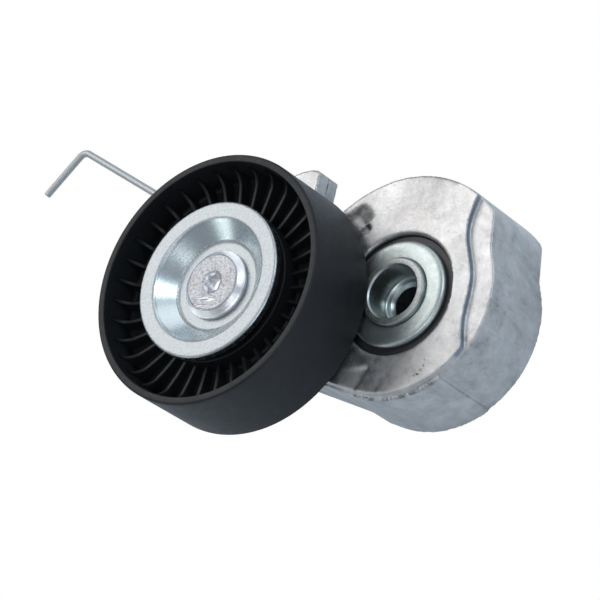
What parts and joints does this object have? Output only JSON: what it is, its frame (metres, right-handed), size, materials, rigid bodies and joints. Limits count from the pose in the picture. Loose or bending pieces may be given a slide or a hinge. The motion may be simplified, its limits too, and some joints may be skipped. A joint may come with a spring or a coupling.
{
  "type": "belt tensioner",
  "caption": "Sprung belt tensioner: cast aluminium arm on a pivot base, ribbed black idler pulley on a ball bearing, zinc dust cover and bolt, wire locking pin.",
  "frame": {"origin": "pivot axis at the base's rear mounting face", "axes": "+Z along the pivot axis towards the pulley side, +X from the pivot axis to the pulley axis at the free-arm stop"},
  "size_m": [0.1711, 0.1088, 0.0623],
  "materials": {
    "cast_arm": "as-cast, satin",
    "cast_base": "as-cast, satin",
    "zinc_steel": "zinc plated",
    "zinc_bright": "bright zinc plated",
    "zinc_bolt": "zinc plated, forged",
    "pin_wire": "zinc plated wire",
    "bush_polymer": "matte",
    "liner_black": "matte",
    "spring_steel": "dark, oiled",
    "bearing_steel": "ground",
    "cage_polymer": "matte",
    "seal_rubber": "matte",
    "pulley_black": "moulded, slightly satin"
  },
  "bodies": {
    "base": {"base_casting": "cast_base", "pivot_tube": "zinc_steel", "front_thrust_washer": "zinc_steel", "rear_thrust_ring": "bush_polymer", "damping_ring": "liner_black", "torsion_spring": "spring_steel"},
    "arm": {"arm_casting": "cast_arm", "front_pivot_bush": "bush_polymer", "rear_pivot_bush": "bush_polymer", "front_thrust_liner": "liner_black", "spring_guide_sleeve": "liner_black", "pulley_bolt": "zinc_bolt", "dust_cover": "zinc_bright", "rear_dust_shield": "zinc_steel", "bearing_inner_ring": "bearing_steel"},
    "pulley": {"pulley_wheel": "pulley_black", "bearing_outer_ring": "bearing_steel", "bearing_seal_front": "seal_rubber", "bearing_seal_rear": "seal_rubber"},
    "ball_set": {"bearing_cage": "cage_polymer", "bearing_balls": "bearing_steel"},
    "locking_pin": {"locking_pin": "pin_wire"}
  },
  "joints": [
    {"name": "arm_swing", "type": "hinge", "parent": "base", "child": "arm", "pos_m": [0, 0, 0.02], "axis": [0, 0, 1], "range_deg": [0, 40], "stiffness_Nm_per_rad": 0.45, "springref_deg": -40.11},
    {"name": "pulley_spin", "type": "hinge", "parent": "arm", "child": "pulley", "pos_m": [0.0458, 0, 0.049], "axis": [0, 0, 1], "continuous": true},
    {"name": "ball_set_spin", "type": "hinge", "parent": "arm", "child": "ball_set", "pos_m": [0.0458, 0, 0.049], "axis": [0, 0, 1], "continuous": true},
    {"name": "locking_pin_slide", "type": "slide", "parent": "arm", "child": "locking_pin", "axis": [-0.8426, 0.5385, 0], "range_m": [-0.03, 0.004]}
  ],
  "couplings": [
    {"joint": "ball_set_spin", "follows": "pulley_spin", "ratio": 0.6184}
  ]
}
